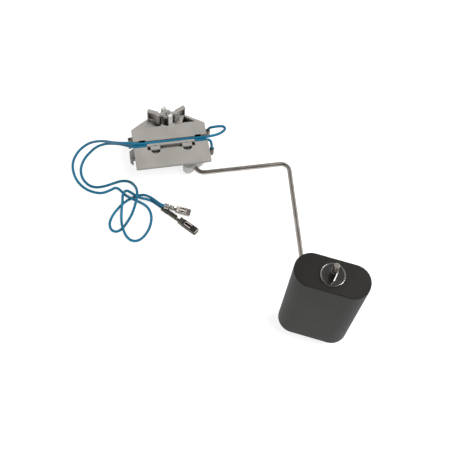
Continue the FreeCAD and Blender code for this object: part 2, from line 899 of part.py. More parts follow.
def terminal_sleeve(length, sleeve_length, window_length):
    half = terminal_width / 2
    end = length - sleeve_setback
    start = end - sleeve_length
    top = sleeve_sheet + terminal_height
    roof = top + sleeve_sheet
    outer = box(start, end, -half - sleeve_sheet, half + sleeve_sheet, 0, roof)
    outer = outer.makeFillet(sleeve_edge_radius, long_edges(outer))
    inner = box(start - 1, end + 1, -half, half, sleeve_sheet, top)
    inner = inner.makeFillet(sleeve_edge_radius - sleeve_sheet, long_edges(inner))
    window = top_window(start + sleeve_window_start, window_length, top - sleeve_sheet, roof + 1)
    lance_end = start + lance_start + lance_length
    lance = box(start + lance_start, lance_end, -lance_half_width, lance_half_width,
                roof, roof + lance_height)
    return fuse([outer.cut(inner).cut(window), lance])


long_seat = terminal_seat(long_length, long_tip, long_angle, long_lift, long_roll)
short_seat = terminal_seat(short_length, short_tip, short_angle, short_lift, short_roll)


# Lead routes: from the lug, through the groove, then loose on the surface

def terminal_entry(seat, straight, wire_end):
    before = seat.multVec(V(-straight, 0, lead_height))
    inside = seat.multVec(V(wire_end - lead_end_gap, 0, lead_height))
    return [tuple(before), tuple(inside)]


flat = lead_radius
over = lead_radius + 2.3
high = lead_radius + 4.6

lead_one_route = [
    (lug_barrel_x, upper_lug_y, card_top + lug_floor + lead_seat),
    (lug_barrel_x, upper_lug_y, card_top + upper_lug_height + 2.0),
    (26.5, -6.3, 23.6), (29.6, -7.0, 24.8), (32.4, -7.9, 25.6),
    (33.4, -10.0, lead_z), (30.9, -12.3, lead_z), (26.9, -13.7, lead_z),
    (21.0, lead_upper_y, lead_z), (-23.0, lead_upper_y, lead_z),
    (-26.5, -12.0, 24.4), (-32.8, -7.2, 20.2), (-39.7, -0.6, 13.4), (-47.0, 3.5, 6.5),
    (-53.6, 2.4, 2.0), (-57.9, -3.7, flat), (-58.7, -10.8, flat), (-56.8, -18.8, flat),
    (-52.6, -24.6, flat), (-47.6, -27.8, flat), (-42.7, -29.1, flat), (-37.8, -27.6, flat),
    (-34.4, -26.0, flat), (-32.0, -28.3, flat), (-29.7, -32.1, flat),
    (-26.8, -35.8, over), (-23.0, -38.5, over),
    (-18.0, -40.9, flat), (-15.9, -46.2, flat), (-16.5, -52.5, flat), (-19.6, -58.7, flat),
    (-24.3, -63.1, flat), (-29.0, -63.3, flat), (-32.0, -59.9, flat),
    (-33.3, -56.3, over), (-33.8, -52.4, over), (-33.5, -46.8, 1.5),
    (-32.5, -41.6, over), (-31.5, -36.8, over), (-31.0, -32.6, over),
    (-28.8, -30.1, over), (-26.2, -31.9, over), (-23.4, -35.1, over), (-20.4, -36.9, 3.0),
    (-17.3, -37.7, 2.0), (-14.4, -39.9, lead_height),
] + terminal_entry(long_seat, long_lead_straight, long_wire_end)

lead_two_route = [
    (lug_barrel_x, lower_lug_y, card_top + lug_floor + lead_seat),
    (lug_barrel_x, lower_lug_y, card_top + lower_lug_height + 2.2),
    (23.3, -16.4, lead_z), (19.6, lead_lower_y, lead_z), (-23.0, lead_lower_y, lead_z),
    (-26.5, -14.2, 24.2), (-33.5, -9.5, 19.2), (-40.6, -4.6, 12.6), (-47.1, -2.7, 6.0),
    (-51.7, -4.8, 1.8), (-54.0, -10.2, flat), (-53.7, -16.8, flat), (-50.6, -22.3, flat),
    (-46.1, -24.7, flat), (-40.4, -24.4, flat), (-34.9, -22.9, flat), (-30.1, -22.0, flat),
    (-25.6, -23.2, flat), (-22.9, -28.0, 2.6),
    (-22.3, -33.2, high), (-23.1, -37.4, high), (-24.3, -41.3, high),
    (-26.8, -45.7, 1.9), (-30.0, -49.9, flat), (-33.6, -54.3, flat), (-37.5, -56.1, flat),
    (-40.5, -53.9, flat), (-40.8, -49.5, flat), (-38.4, -44.7, flat), (-34.6, -40.3, flat),
    (-29.6, -36.3, flat), (-25.2, -34.4, flat), (-21.2, -33.3, flat), (-17.7, -33.9, 1.2),
    (-15.1, -36.7, 2.6), (-12.8, -39.9, 4.2), (-10.8, -42.7, 4.8),
] + terminal_entry(short_seat, short_lead_straight, short_wire_end)


def build():
    long_body = terminal_body(long_length, long_insulation_end, long_wire_end, long_box_start,
                              long_sleeve_length, long_window_length)
    short_body = terminal_body(short_length, short_insulation_end, short_wire_end, short_box_start,
                               short_sleeve_length, short_window_length)
    long_sleeve = terminal_sleeve(long_length, long_sleeve_length, long_window_length)
    short_sleeve = terminal_sleeve(short_length, short_sleeve_length, short_window_length)
    return {
        "front_housing": front_housing(),
        "rear_cover": rear_cover(),
        "resistor_card": resistor_card(),
        "upper_contact_lug": contact_lug(upper_lug_y, upper_lug_height),
        "lower_contact_lug": contact_lug(lower_lug_y, lower_lug_height),
        "wiper_lever": wiper_lever(),
        "wiper_spring": wiper_spring(),
        "inner_wiper_contact": wiper_contact(-prong_offset, inner_track_radius),
        "outer_wiper_contact": wiper_contact(prong_offset, outer_track_radius),
        "left_spring_rivet": spring_rivet(1),
        "right_spring_rivet": spring_rivet(-1),
        "float_arm": float_arm(),
        "float": float_body(),
        "push_nut": push_nut(),
        "upper_lead": lead("upper_lead", lead_one_route),
        "lower_lead": lead("lower_lead", lead_two_route),
        "upper_lead_terminal": seated(long_body, long_seat),
        "upper_lead_sleeve": seated(long_sleeve, long_seat),
        "lower_lead_terminal": seated(short_body, short_seat),
        "lower_lead_sleeve": seated(short_sleeve, short_seat),
    }


os.makedirs("parts", exist_ok=True)
for node, shape in build().items():
    if len(shape.Solids) != 1 or not shape.isValid():
        print("CHECK", node, "solids", len(shape.Solids), "valid", shape.isValid())
    solid = shape.Solids[0]
    solid.exportStep("parts/" + node + ".step")
    size = solid.BoundBox
    print(node, round(solid.Volume, 1), [round(v, 2) for v in
          (size.XMin, size.XMax, size.YMin, size.YMax, size.ZMin, size.ZMax)])
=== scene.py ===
# %% [markdown]
# # A fuel level sender, dressed for its picture
# The sender sits on a fuel pump module: a foam float swings a bent wire arm, and the arm's lever
# moves contacts over a resistor card inside the grey body. The solids come packed and jointed. This
# lesson gives them their finishes, lays the two blue leads as smooth curves and sets up the camera
# and the light.

import math

import bmesh
import bpy
from mathutils import Matrix, Vector


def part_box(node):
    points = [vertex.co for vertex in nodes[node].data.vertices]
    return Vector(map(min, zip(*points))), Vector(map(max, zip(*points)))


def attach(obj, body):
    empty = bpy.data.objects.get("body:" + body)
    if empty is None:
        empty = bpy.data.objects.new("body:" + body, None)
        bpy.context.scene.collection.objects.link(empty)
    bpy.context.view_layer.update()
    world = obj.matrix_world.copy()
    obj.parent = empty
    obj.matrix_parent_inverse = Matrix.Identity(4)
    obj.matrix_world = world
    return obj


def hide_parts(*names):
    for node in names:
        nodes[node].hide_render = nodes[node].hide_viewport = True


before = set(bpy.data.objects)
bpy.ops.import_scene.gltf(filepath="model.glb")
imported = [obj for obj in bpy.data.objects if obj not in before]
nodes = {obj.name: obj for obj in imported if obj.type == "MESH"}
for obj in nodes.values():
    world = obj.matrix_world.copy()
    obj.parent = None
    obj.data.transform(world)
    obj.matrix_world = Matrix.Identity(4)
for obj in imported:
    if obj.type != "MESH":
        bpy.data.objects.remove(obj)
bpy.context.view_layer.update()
scene = bpy.context.scene
MM = 0.001


print("sender nodes:", len(nodes))

# %% [markdown]
# ## The camera
# The picture looks down steeply on the lying sender, a little from its left, with the camera rolled
# by a few degrees. A camera that tracks a target would lose that roll and Euler angles would hide
# it, so the camera's matrix is written from its three directions.

# %% Camera at the picture's angle
camera_right = Vector((0.98322, -0.17236, 0.05982)).normalized()
camera_forward = Vector((0.13274, 0.45085, -0.88267)).normalized()
camera_up = camera_right.cross(camera_forward)
camera_place = Vector((-0.03516, -0.26713, 0.40570))

camera_data = bpy.data.cameras.new("picture_camera")
camera_data.lens = 62.56
camera_data.sensor_width = 36.0
camera_data.clip_start = 0.01
camera_data.clip_end = 20.0
camera = bpy.data.objects.new("picture_camera", camera_data)
scene.collection.objects.link(camera)
turn = Matrix((camera_right, camera_up, -camera_forward)).transposed()
camera.matrix_world = Matrix.Translation(camera_place) @ turn.to_4x4()
scene.camera = camera
print("camera looks along", [round(v, 3) for v in camera_forward])

# %% [markdown]
# ## Small features of the two receptacles
# A receptacle is stamped from tinned strip and folded into a box, and a thin steel sleeve is slipped
# over it. The press leaves a raised rim round the long one's window, a spring tongue between two
# slits in the short one's roof, and a rolled lip at each mouth. A band behind the short one's mouth
# is brown. All of this is tenths of a millimetre high, and cut into the boxes it would cost many
# faces, so small bevelled bars are set on them instead. Pale bars paint the highlights on rims, lips
# and tongue, and dark bars paint the shade in the slits. Each bar is made along X, as the strip runs
# through the press, and one matrix carries it to its receptacle. The long one lies flat. The short
# one's mouth lies on the surface too, and its crimp end is raised and rolled by what it crosses.

# %% Where each receptacle lies
def receptacle_seat(length, tip, angle, lift, roll, raised):
    tilt = math.asin(lift / length)
    turn = Matrix.Rotation(math.radians(angle), 4, "Z") @ Matrix.Rotation(tilt, 4, "Y")
    turn = turn @ Matrix.Rotation(math.radians(roll), 4, "X")
    mouth = Matrix.Translation((tip[0], tip[1], raised))
    return Matrix.Scale(MM, 4) @ mouth @ turn @ Matrix.Translation((-length, 0.0, 0.0))


long_seat = receptacle_seat(
    length=25.6, tip=(8.5, -63.0), angle=-46.9, lift=0.0, roll=0.0, raised=0.0
)
short_seat = receptacle_seat(
    length=15.8, tip=(6.4, -49.8), angle=-20.0, lift=3.3, roll=10.0, raised=0.347
)
for label, seat in (("long", long_seat), ("short", short_seat)):
    print(label, "receptacle starts at mm:", [round(v / MM, 1) for v in seat.translation])

# %% Bars that share one seat
BAR_BEVEL = 0.04


def add_piece(name, bm):
    mesh = bpy.data.meshes.new(name)
    bm.to_mesh(mesh)
    bm.free()
    piece = bpy.data.objects.new(name, mesh)
    scene.collection.objects.link(piece)
    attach(piece, "sensor_body")
    return piece


# A bar is its low and high end along X, across Y and up Z, in millimetres.
def bar_set(name, seat, bars):
    bm = bmesh.new()
    for x0, x1, y0, y1, z0, z1 in bars:
        made = bmesh.ops.create_cube(bm, size=1.0)
        bmesh.ops.scale(bm, verts=made["verts"], vec=(x1 - x0, y1 - y0, z1 - z0))
        middle = ((x0 + x1) / 2, (y0 + y1) / 2, (z0 + z1) / 2)
        bmesh.ops.translate(bm, verts=made["verts"], vec=middle)
    bmesh.ops.bevel(
        bm, geom=bm.edges[:], offset=BAR_BEVEL, segments=2, profile=0.5, affect="EDGES", material=-1
    )
    bmesh.ops.recalc_face_normals(bm, faces=bm.faces[:])
    bmesh.ops.transform(bm, matrix=seat, verts=bm.verts[:])
    print("bars in", name + ":", len(bars))
    return add_piece(name, bm)


print("bevel of the bars in mm:", BAR_BEVEL)

# %% Long receptacle: window rim and mouth lip
SLEEVE_ROOF = 3.0
RIM_FOOT, RIM_TOP = SLEEVE_ROOF - 0.05, SLEEVE_ROOF + 0.16
LIP_FOOT, LIP_TOP = 2.78, 2.98
LIP_HALF_WIDTH = 1.75

long_rim = bar_set("long_window_rim", long_seat, [
    (16.4, 21.4, 0.75, 1.30, RIM_FOOT, RIM_TOP),
    (16.4, 21.4, -1.30, -0.75, RIM_FOOT, RIM_TOP),
    (16.3, 17.0, -1.30, 1.30, RIM_FOOT, RIM_TOP),
])
long_lip = bar_set("long_mouth_lip", long_seat, [
    (25.05, 25.58, -LIP_HALF_WIDTH, LIP_HALF_WIDTH, LIP_FOOT, LIP_TOP),
])

# %% Short receptacle: tongue, slits, brown band and mouth lip
short_tongue = bar_set("short_spring_tongue", short_seat, [
    (9.2, 13.0, -0.44, 0.44, SLEEVE_ROOF - 0.12, SLEEVE_ROOF + 0.05),
])
# Dark bars that paint the shade in the two slits.
short_slits = bar_set("short_tongue_slits", short_seat, [
    (9.1, 12.9, 0.46, 1.26, SLEEVE_ROOF - 0.10, SLEEVE_ROOF + 0.03),
    (9.1, 12.9, -1.26, -0.46, SLEEVE_ROOF - 0.10, SLEEVE_ROOF + 0.03),
])
short_band = bar_set("short_mouth_band", short_seat, [
    (13.3, 15.18, -1.62, 1.62, SLEEVE_ROOF - 0.06, SLEEVE_ROOF + 0.06),
])
short_lip = bar_set("short_mouth_lip", short_seat, [
    (15.25, 15.78, -LIP_HALF_WIDTH, LIP_HALF_WIDTH, LIP_FOOT, LIP_TOP),
])

# %% [markdown]
# ## Bare strands
# A lead is stripped before it is crimped, so a brush of bare strands runs on from its end under the
# wire crimp. One rod would do from afar, but the crimp is open and shows the bundle. Seven strands
# lie as they do in real wire, six round one, and each is a cone with equal ends, which is bmesh's
# cylinder.

# %% Strands under the wire crimps
STRAND_DIAMETER = 0.36
STRAND_LEVEL = 1.4


def strand_brush(name, seat, start, end):
    places = [(0.0, 0.0)]
    for turn in range(6):
        angle = math.radians(60 * turn)
        places.append((STRAND_DIAMETER * math.cos(angle), STRAND_DIAMETER * math.sin(angle)))
    bm = bmesh.new()
    for across, up in places:
        made = bmesh.ops.create_cone(
            bm, cap_ends=True, segments=12, depth=end - start,
            radius1=STRAND_DIAMETER / 2, radius2=STRAND_DIAMETER / 2,
        )
        lay = Matrix.Translation(((start + end) / 2, across, STRAND_LEVEL + up))
        lay = lay @ Matrix.Rotation(math.radians(90), 4, "Y")
        bmesh.ops.transform(bm, matrix=seat @ lay, verts=made["verts"])
    bmesh.ops.recalc_face_normals(bm, faces=bm.faces[:])
    print("strands in", name + ":", len(places))
    return add_piece(name, bm)


long_strands = strand_brush("long_bare_strands", long_seat, start=4.4, end=11.4)
short_strands = strand_brush("short_bare_strands", short_seat, start=2.8, end=6.7)

# %% [markdown]
# ## The two leads
# A lead is stranded wire in blue insulation. It runs from its lug through the housing's groove, off
# the left edge, and in loose loops over the floor to its receptacle. A chain of arcs would look
# like bent wire, so each lead is one NURBS curve, which bends gently between its control points and
# never kinks. The points are the route's own corners. Where the leads drop off the left edge they
# are moved a little to follow the picture, and a point is added at each end of the groove, where
# the lead is held straight.

# %% Upper lead's route, in millimetres
upper_lead_route = [
    (24.00, -4.80, 16.00), (24.00, -4.80, 20.80), (26.50, -6.30, 23.60), (29.60, -7.00, 24.80),
    (32.40, -7.90, 25.60), (33.40, -10.00, 25.90), (30.90, -12.30, 25.90), (26.90, -13.70, 25.90),
    (21.00, -14.20, 25.90), (15.60, -14.20, 25.90), (-15.60, -14.20, 25.90), (-19.90, -14.20, 26.30),
    (-24.10, -13.60, 27.40), (-28.30, -11.60, 25.30), (-32.80, -7.60, 20.90), (-37.60, -2.40, 15.80),
    (-42.70, 1.50, 10.70), (-47.60, 3.60, 6.30), (-53.60, 2.40, 2.00), (-57.90, -3.70, 0.80),
    (-58.70, -10.80, 0.80), (-56.80, -18.80, 0.80), (-52.60, -24.60, 0.80), (-47.60, -27.80, 0.80),
    (-42.70, -29.10, 0.80), (-37.80, -27.60, 0.80), (-34.40, -26.00, 0.80), (-32.00, -28.30, 0.80),
    (-29.70, -32.10, 0.80), (-26.80, -35.80, 3.10), (-23.00, -38.50, 3.10), (-18.00, -40.90, 0.80),
    (-15.90, -46.20, 0.80), (-16.50, -52.50, 0.80), (-19.60, -58.70, 0.80), (-24.30, -63.10, 0.80),
    (-29.00, -63.30, 0.80), (-32.00, -59.90, 0.80), (-33.30, -56.30, 3.10), (-33.80, -52.40, 3.10),
    (-33.50, -46.80, 1.50), (-32.50, -41.60, 3.10), (-31.50, -36.80, 3.10), (-31.00, -32.60, 3.10),
    (-28.80, -30.10, 3.10), (-26.20, -31.90, 3.10), (-23.40, -35.10, 3.10), (-20.40, -36.90, 3.00),
    (-16.90, -37.40, 2.00), (-13.60, -39.40, 1.50), (-10.77, -42.41, 1.40), (-5.99, -47.52, 1.40),
]
print("points on the upper lead:", len(upper_lead_route))

# %% Lower lead's route, in millimetres
lower_lead_route = [
    (24.00, -18.70, 16.00), (24.00, -18.70, 22.20), (23.30, -16.40, 25.90), (19.60, -16.00, 25.90),
    (15.00, -16.00, 25.90), (-16.40, -16.00, 25.90), (-19.50, -16.20, 26.20), (-23.40, -14.40, 24.90),
    (-27.80, -10.10, 21.70), (-32.20, -6.70, 18.30), (-37.20, -3.20, 14.00), (-42.50, -1.50, 9.70),
    (-47.60, -2.30, 4.70), (-51.20, -4.60, 2.00), (-54.00, -10.20, 0.80), (-53.70, -16.80, 0.80),
    (-50.60, -22.30, 0.80), (-46.10, -24.70, 0.80), (-40.40, -24.40, 0.80), (-34.90, -22.90, 0.80),
    (-30.10, -22.00, 0.80), (-25.60, -23.20, 0.80), (-22.90, -28.00, 2.60), (-22.30, -33.20, 5.40),
    (-23.10, -37.40, 5.40), (-24.30, -41.30, 5.40), (-26.80, -45.70, 1.90), (-30.00, -49.90, 0.80),
    (-33.60, -54.30, 0.80), (-37.50, -56.10, 0.80), (-40.50, -53.90, 0.80), (-40.80, -49.50, 0.80),
    (-38.40, -44.70, 0.80), (-34.60, -40.30, 0.80), (-29.60, -36.30, 0.80), (-25.20, -34.40, 0.80),
    (-21.20, -33.30, 0.80), (-17.70, -33.90, 1.20), (-15.10, -36.70, 2.60), (-12.80, -39.90, 4.20),
    (-10.80, -42.70, 4.80), (-9.04, -44.44, 5.25), (-5.36, -45.78, 4.41),
]
print("points on the lower lead:", len(lower_lead_route))

# %% [markdown]
# ## From a route to a lead
# The order is set after the points are in, because before that the curve would stay a chain of
# straight runs. The bevel is one metre and each point's radius brings it down to the real lead,
# because Blender draws a curve's box round its points and their radii, and a radius of one would
# make that box metres wide.

# %% A lead as one smooth curve
LEAD_DIAMETER = 1.6


def lay_lead(name, route):
    curve = bpy.data.curves.new(name, "CURVE")
    curve.dimensions = "3D"
    curve.bevel_depth = 1.0
    curve.bevel_resolution = 5
    curve.use_fill_caps = True
    spline = curve.splines.new("NURBS")
    spline.points.add(len(route) - 1)
    for point, place in zip(spline.points, route):
        point.co = (place[0] * MM, place[1] * MM, place[2] * MM, 1.0)
        point.radius = LEAD_DIAMETER / 2 * MM
    spline.order_u = 3
    spline.use_endpoint_u = True
    spline.resolution_u = 8
    piece = bpy.data.objects.new(name, curve)
    scene.collection.objects.link(piece)
    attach(piece, "sensor_body")
    return piece


print("lead diameter in mm:", LEAD_DIAMETER)

upper_lead_cord = lay_lead("upper_lead_cord", upper_lead_route)
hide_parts("upper_lead")

lower_lead_cord = lay_lead("lower_lead_cord", lower_lead_route)
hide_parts("lower_lead")
print("leads laid:", upper_lead_cord.name, lower_lead_cord.name)

# %% [markdown]
# ## The room
# The picture is a plain studio shot on white. The polished nut and the float's top are nearly black
# in it, so metal sees a room that is white at the horizon and dark overhead, and darker on the
# camera's side too. Matt surfaces get an even, modest level from that room, which keeps the
# recesses dark. One plain background couldn't do both, so Light Path tells the rays apart, and the
# camera itself always sees plain white.

# %% Helpers for node trees
def math_node(tree, operation, first, second=0.0):
    node = tree.nodes.new("ShaderNodeMath")
    node.operation = operation
    tree.links.new(first, node.inputs[0])
    if isinstance(second, float):
        node.inputs[1].default_value = second
    else:
        tree.links.new(second, node.inputs[1])
    return node.outputs[0]


def spread(tree, source, from_range, to_range, smooth=False):
    node = tree.nodes.new("ShaderNodeMapRange")
    node.interpolation_type = "SMOOTHSTEP" if smooth else "LINEAR"
    for label, (low, high) in (("From", from_range), ("To", to_range)):
        node.inputs[label + " Min"].default_value = low
        node.inputs[label + " Max"].default_value = high
    tree.links.new(source, node.inputs["Value"])
    return node


def seen_rays(tree):
    rays = tree.nodes.new("ShaderNodeLightPath").outputs
    direct = math_node(tree, "MAXIMUM", rays["Is Camera Ray"], rays["Is Glossy Ray"])
    return math_node(tree, "MAXIMUM", direct, rays["Is Transmission Ray"])


print("helpers for node trees: math_node, spread, seen_rays")

# %% World
MATT_LEVEL = 0.28
OVERHEAD_LEVEL = 0.11
OVERHEAD_FADE = (0.45, 0.86)
CAMERA_SIDE_LEVEL = 0.25
CAMERA_SIDE_FADE = (-0.70, 0.20)

scene.view_settings.view_transform = "Standard"
world = bpy.data.worlds.new("studio_world")
scene.world = world
world.use_nodes = True
tree = world.node_tree
sky = tree.nodes["Background"]
sky.inputs["Color"].default_value = (1.0, 1.0, 1.0, 1.0)
direction = tree.nodes.new("ShaderNodeTexCoord")
parts = tree.nodes.new("ShaderNodeSeparateXYZ")
tree.links.new(direction.outputs["Generated"], parts.inputs["Vector"])
fade = spread(tree, parts.outputs["Z"], OVERHEAD_FADE, (1.0, OVERHEAD_LEVEL), smooth=True)
front = spread(tree, parts.outputs["Y"], CAMERA_SIDE_FADE, (CAMERA_SIDE_LEVEL, 1.0), smooth=True)
shiny = math_node(tree, "MULTIPLY", fade.outputs["Result"], front.outputs["Result"])
room = spread(tree, seen_rays(tree), (0.0, 1.0), (MATT_LEVEL, 1.0))
tree.links.new(shiny, room.inputs["To Max"])
rays = tree.nodes.new("ShaderNodeLightPath").outputs
backdrop = math_node(tree, "MAXIMUM", room.outputs["Result"], rays["Is Camera Ray"])
tree.links.new(backdrop, sky.inputs["Strength"])
print("room level on matt surfaces:", MATT_LEVEL)

# %% [markdown]
# ## The lamps
# A large key lamp from the right and a weaker one from the left make the shading. Both are left out
# of reflections, because the metal in the picture doesn't show them. A small lamp puts the bright
# lines on the sheet metal and the leads. Point lamps would draw hard shadows, so all three are
# square panels, as softboxes are.

# %% Lamps
LAMP_TARGET = Vector((0.0, -0.05, 0.02))


def soft_panel(name, place, width, power):
    data = bpy.data.lights.new(name, "AREA")
    data.shape = "SQUARE"
    data.size = width
    data.energy = power
    lamp = bpy.data.objects.new(name, data)
    lamp.location = place
    aim = LAMP_TARGET - Vector(place)
    lamp.rotation_euler = aim.to_track_quat("-Z", "Y").to_euler()
    scene.collection.objects.link(lamp)
    return lamp


spark_panel = soft_panel("spark_panel", (0.50, -0.10, 0.86), width=0.26, power=2.4)
key_panel = soft_panel("key_panel", (0.30, -0.36, 0.92), width=0.42, power=5.2)
left_panel = soft_panel("left_panel", (-0.66, -0.30, 0.60), width=0.42, power=1.5)
key_panel.visible_glossy = False
left_panel.visible_glossy = False
print("lamps:", spark_panel.name, key_panel.name, left_panel.name)

# %% [markdown]
# ## The floor
# The sender lies on a white table that fades into the background. A floor bright enough for that
# would light the sender from below, so its white is an emission that only the camera and
# reflections see. The matt paint under it lights the sender by what falls on it and keeps its
# shadow.

# %% White floor
FLOOR_HALF_SIZE = 3.0
FLOOR_DROP = 0.0004
FLOOR_PAINT = (0.55, 0.55, 0.55, 1.0)
FLOOR_GLOW = 0.74

bm = bmesh.new()
bmesh.ops.create_grid(bm, x_segments=1, y_segments=1, size=FLOOR_HALF_SIZE)
bmesh.ops.translate(bm, verts=bm.verts, vec=(0.0, 0.0, -FLOOR_DROP))
floor_mesh = bpy.data.meshes.new("studio_floor")
bm.to_mesh(floor_mesh)
bm.free()
floor = bpy.data.objects.new("studio_floor", floor_mesh)
scene.collection.objects.link(floor)

floor_paint = bpy.data.materials.new("studio_white")
floor_paint.use_nodes = True
tree = floor_paint.node_tree
paint = tree.nodes["Principled BSDF"]
paint.inputs["Base Color"].default_value = FLOOR_PAINT
paint.inputs["Roughness"].default_value = 0.9
paint.inputs["Specular IOR Level"].default_value = 0.0
glow = tree.nodes.new("ShaderNodeEmission")
level = math_node(tree, "MULTIPLY", seen_rays(tree), FLOOR_GLOW)
both = tree.nodes.new("ShaderNodeAddShader")
tree.links.new(level, glow.inputs["Strength"])
tree.links.new(paint.outputs["BSDF"], both.inputs[0])
tree.links.new(glow.outputs["Emission"], both.inputs[1])
tree.links.new(both.outputs[0], tree.nodes["Material Output"].inputs["Surface"])
floor.data.materials.append(floor_paint)
print("floor half size in m:", FLOOR_HALF_SIZE)

# %% [markdown]
# ## Shared surface effects
# Three small node groups carry the effects of the finishes. The two patterns read Object coordinates,
# so they have a real size in millimetres and stay put when a part moves. The third one tells how open
# a spot is between the walls of its own piece. The housing uses it to paint shade into its deep
# recesses, where little light gets in. Each could be written out in every material, but a group is
# built once and takes its own values in each.

# %% Node group: fine grain with a slow drift of shade
def new_group(name, inputs, outputs):
    group = bpy.data.node_groups.new(name, "ShaderNodeTree")
    for label, value in inputs:
        socket = group.interface.new_socket(label, in_out="INPUT", socket_type="NodeSocketFloat")
        socket.default_value = value
    for label in outputs:
        group.interface.new_socket(label, in_out="OUTPUT", socket_type="NodeSocketFloat")
    return group, group.nodes.new("NodeGroupInput"), group.nodes.new("NodeGroupOutput")


grain_group, group_in, group_out = new_group(
    "grain_and_drift", [("Grain Scale", 4000.0), ("Drift Scale", 60.0)], ["Grain", "Drift"]
)
place = grain_group.nodes.new("ShaderNodeTexCoord")
for label, detail in (("Grain", 3.0), ("Drift", 2.0)):
    noise = grain_group.nodes.new("ShaderNodeTexNoise")
    noise.inputs["Detail"].default_value = detail
    grain_group.links.new(place.outputs["Object"], noise.inputs["Vector"])
    grain_group.links.new(group_in.outputs[label + " Scale"], noise.inputs["Scale"])
    grain_group.links.new(noise.outputs["Fac"], group_out.inputs[label])
print("group:", grain_group.name)

# %% Node group: closed foam cells
cell_group, group_in, group_out = new_group("foam_cells", [("Cell Scale", 2200.0)], ["Cells"])
place = cell_group.nodes.new("ShaderNodeTexCoord")
voronoi = cell_group.nodes.new("ShaderNodeTexVoronoi")
cell_group.links.new(place.outputs["Object"], voronoi.inputs["Vector"])
cell_group.links.new(group_in.outputs["Cell Scale"], voronoi.inputs["Scale"])
cell_group.links.new(voronoi.outputs["Distance"], group_out.inputs["Cells"])
print("group:", cell_group.name)

# %% Node group: openness, for painted shade in deep recesses
recess_shade_group, group_in, group_out = new_group("painted_recess_shade", [("Reach", 0.005)], ["Open"])
near_walls = recess_shade_group.nodes.new("ShaderNodeAmbientOcclusion")
near_walls.samples = 12
near_walls.only_local = True
recess_shade_group.links.new(group_in.outputs["Reach"], near_walls.inputs["Distance"])
recess_shade_group.links.new(near_walls.outputs["AO"], group_out.inputs["Open"])
print("group:", recess_shade_group.name)

# %% [markdown]
# ## How a finish is built
# Each finish is one Principled shader. A colour is written as it looks in plain light, in steps of
# 0 to 255, and the drift moves it between a dark and a light shade, so no surface is one flat
# colour. Roughness and bump follow the same noise where the real surface shows it. What is the same
# all over is set on the shader.

# %% Colour and roughness that drift
NOISE_RANGE = (0.3, 0.7)


def linear(red, green, blue):
    values = []
    for level in (red, green, blue):
        share = level / 255.0
        values.append(share / 12.92 if share <= 0.04045 else ((share + 0.055) / 1.055) ** 2.4)
    return tuple(values) + (1.0,)


def new_finish(name, roughness, metallic=0.0):
    finish = bpy.data.materials.new(name)
    finish.use_nodes = True
    shader = finish.node_tree.nodes["Principled BSDF"]
    shader.inputs["Roughness"].default_value = roughness
    shader.inputs["Metallic"].default_value = metallic
    return finish, finish.node_tree, shader


def add_group(tree, group, **values):
    node = tree.nodes.new("ShaderNodeGroup")
    node.node_tree = group
    for label, value in values.items():
        node.inputs[label.replace("_", " ")].default_value = value
    return node


def drift_colour(tree, shader, grain, dark, light):
    ramp = tree.nodes.new("ShaderNodeValToRGB")
    for element, position, shade in zip(ramp.color_ramp.elements, NOISE_RANGE, (dark, light)):
        element.position = position
        element.color = linear(*shade)
    tree.links.new(grain.outputs["Drift"], ramp.inputs["Fac"])
    tree.links.new(ramp.outputs["Color"], shader.inputs["Base Color"])
    return ramp.outputs["Color"]


def drift_roughness(tree, shader, source, low, high):
    node = spread(tree, source, NOISE_RANGE, (low, high))
    tree.links.new(node.outputs["Result"], shader.inputs["Roughness"])
    return node.outputs["Result"]


print("noise is read between", *NOISE_RANGE)


# %% Bump, and putting a finish on its parts
def add_bump(tree, shader, source, strength, distance):
    bump = tree.nodes.new("ShaderNodeBump")
    bump.inputs["Strength"].default_value = strength
    bump.inputs["Distance"].default_value = distance
    tree.links.new(source, bump.inputs["Height"])
    tree.links.new(bump.outputs["Normal"], shader.inputs["Normal"])


def dress(finish, *names):
    for name in names:
        mesh = nodes[name].data
        mesh.materials.clear()
        mesh.materials.append(finish)
    print("finish:", finish.name, "on", *names)


def coat(finish, *pieces):
    for piece in pieces:
        piece.data.materials.append(finish)
    print("finish:", finish.name, "on", *[piece.name for piece in pieces])


print("parts to dress:", len(nodes))

# %% [markdown]
# ## Grey moulded plastic
# The body and its cover are injection moulded in a grey plastic that stands fuel. The mould's eroded
# walls leave a fine matt grain, and the grey drifts a little with the flow. A plain grey would leave
# the tower's pockets and the windows too pale, so the finish paints shade into them: it multiplies
# its colour by how open each spot is, down to near black in the deepest recesses.

# %% Housing and cover
RECESS_SHADE_RANGE = (0.10, 0.44)


# Painted shade: the colour is multiplied down where a spot is closed in by the walls of its own
# piece.
def paint_recess_shade(tree, shader, colour, reach, darkest):
    recess = add_group(tree, recess_shade_group, Reach=reach)
    painted_shade_level = spread(tree, recess.outputs["Open"], RECESS_SHADE_RANGE, (darkest, 1.0))
    shade = tree.nodes.new("ShaderNodeMix")
    shade.data_type = "RGBA"
    shade.blend_type = "MULTIPLY"
    shade.inputs["Factor"].default_value = 1.0
    tree.links.new(colour, shade.inputs["A"])
    tree.links.new(painted_shade_level.outputs["Result"], shade.inputs["B"])
    tree.links.new(shade.outputs["Result"], shader.inputs["Base Color"])


housing_finish, tree, shader = new_finish("grey_moulded_plastic", roughness=0.5)
grain = add_group(tree, grain_group, Grain_Scale=5200.0, Drift_Scale=90.0)
colour = drift_colour(tree, shader, grain, dark=(160, 156, 150), light=(171, 167, 162))
# Painted shade in the pockets, windows and well of the housing.
paint_recess_shade(tree, shader, colour, reach=0.010, darkest=0.08)
drift_roughness(tree, shader, grain.outputs["Drift"], low=0.42, high=0.55)
add_bump(tree, shader, grain.outputs["Grain"], strength=0.25, distance=0.00004)
dress(housing_finish, "front_housing", "rear_cover")

# %% [markdown]
# ## Milky lever plastic
# The lever is moulded in unfilled plastic, slippery and a little see-through. A plain white would
# look like paint. Some light that enters the surface and comes out beside it makes it milky, and
# subsurface scattering does that without the noise of real transparency.

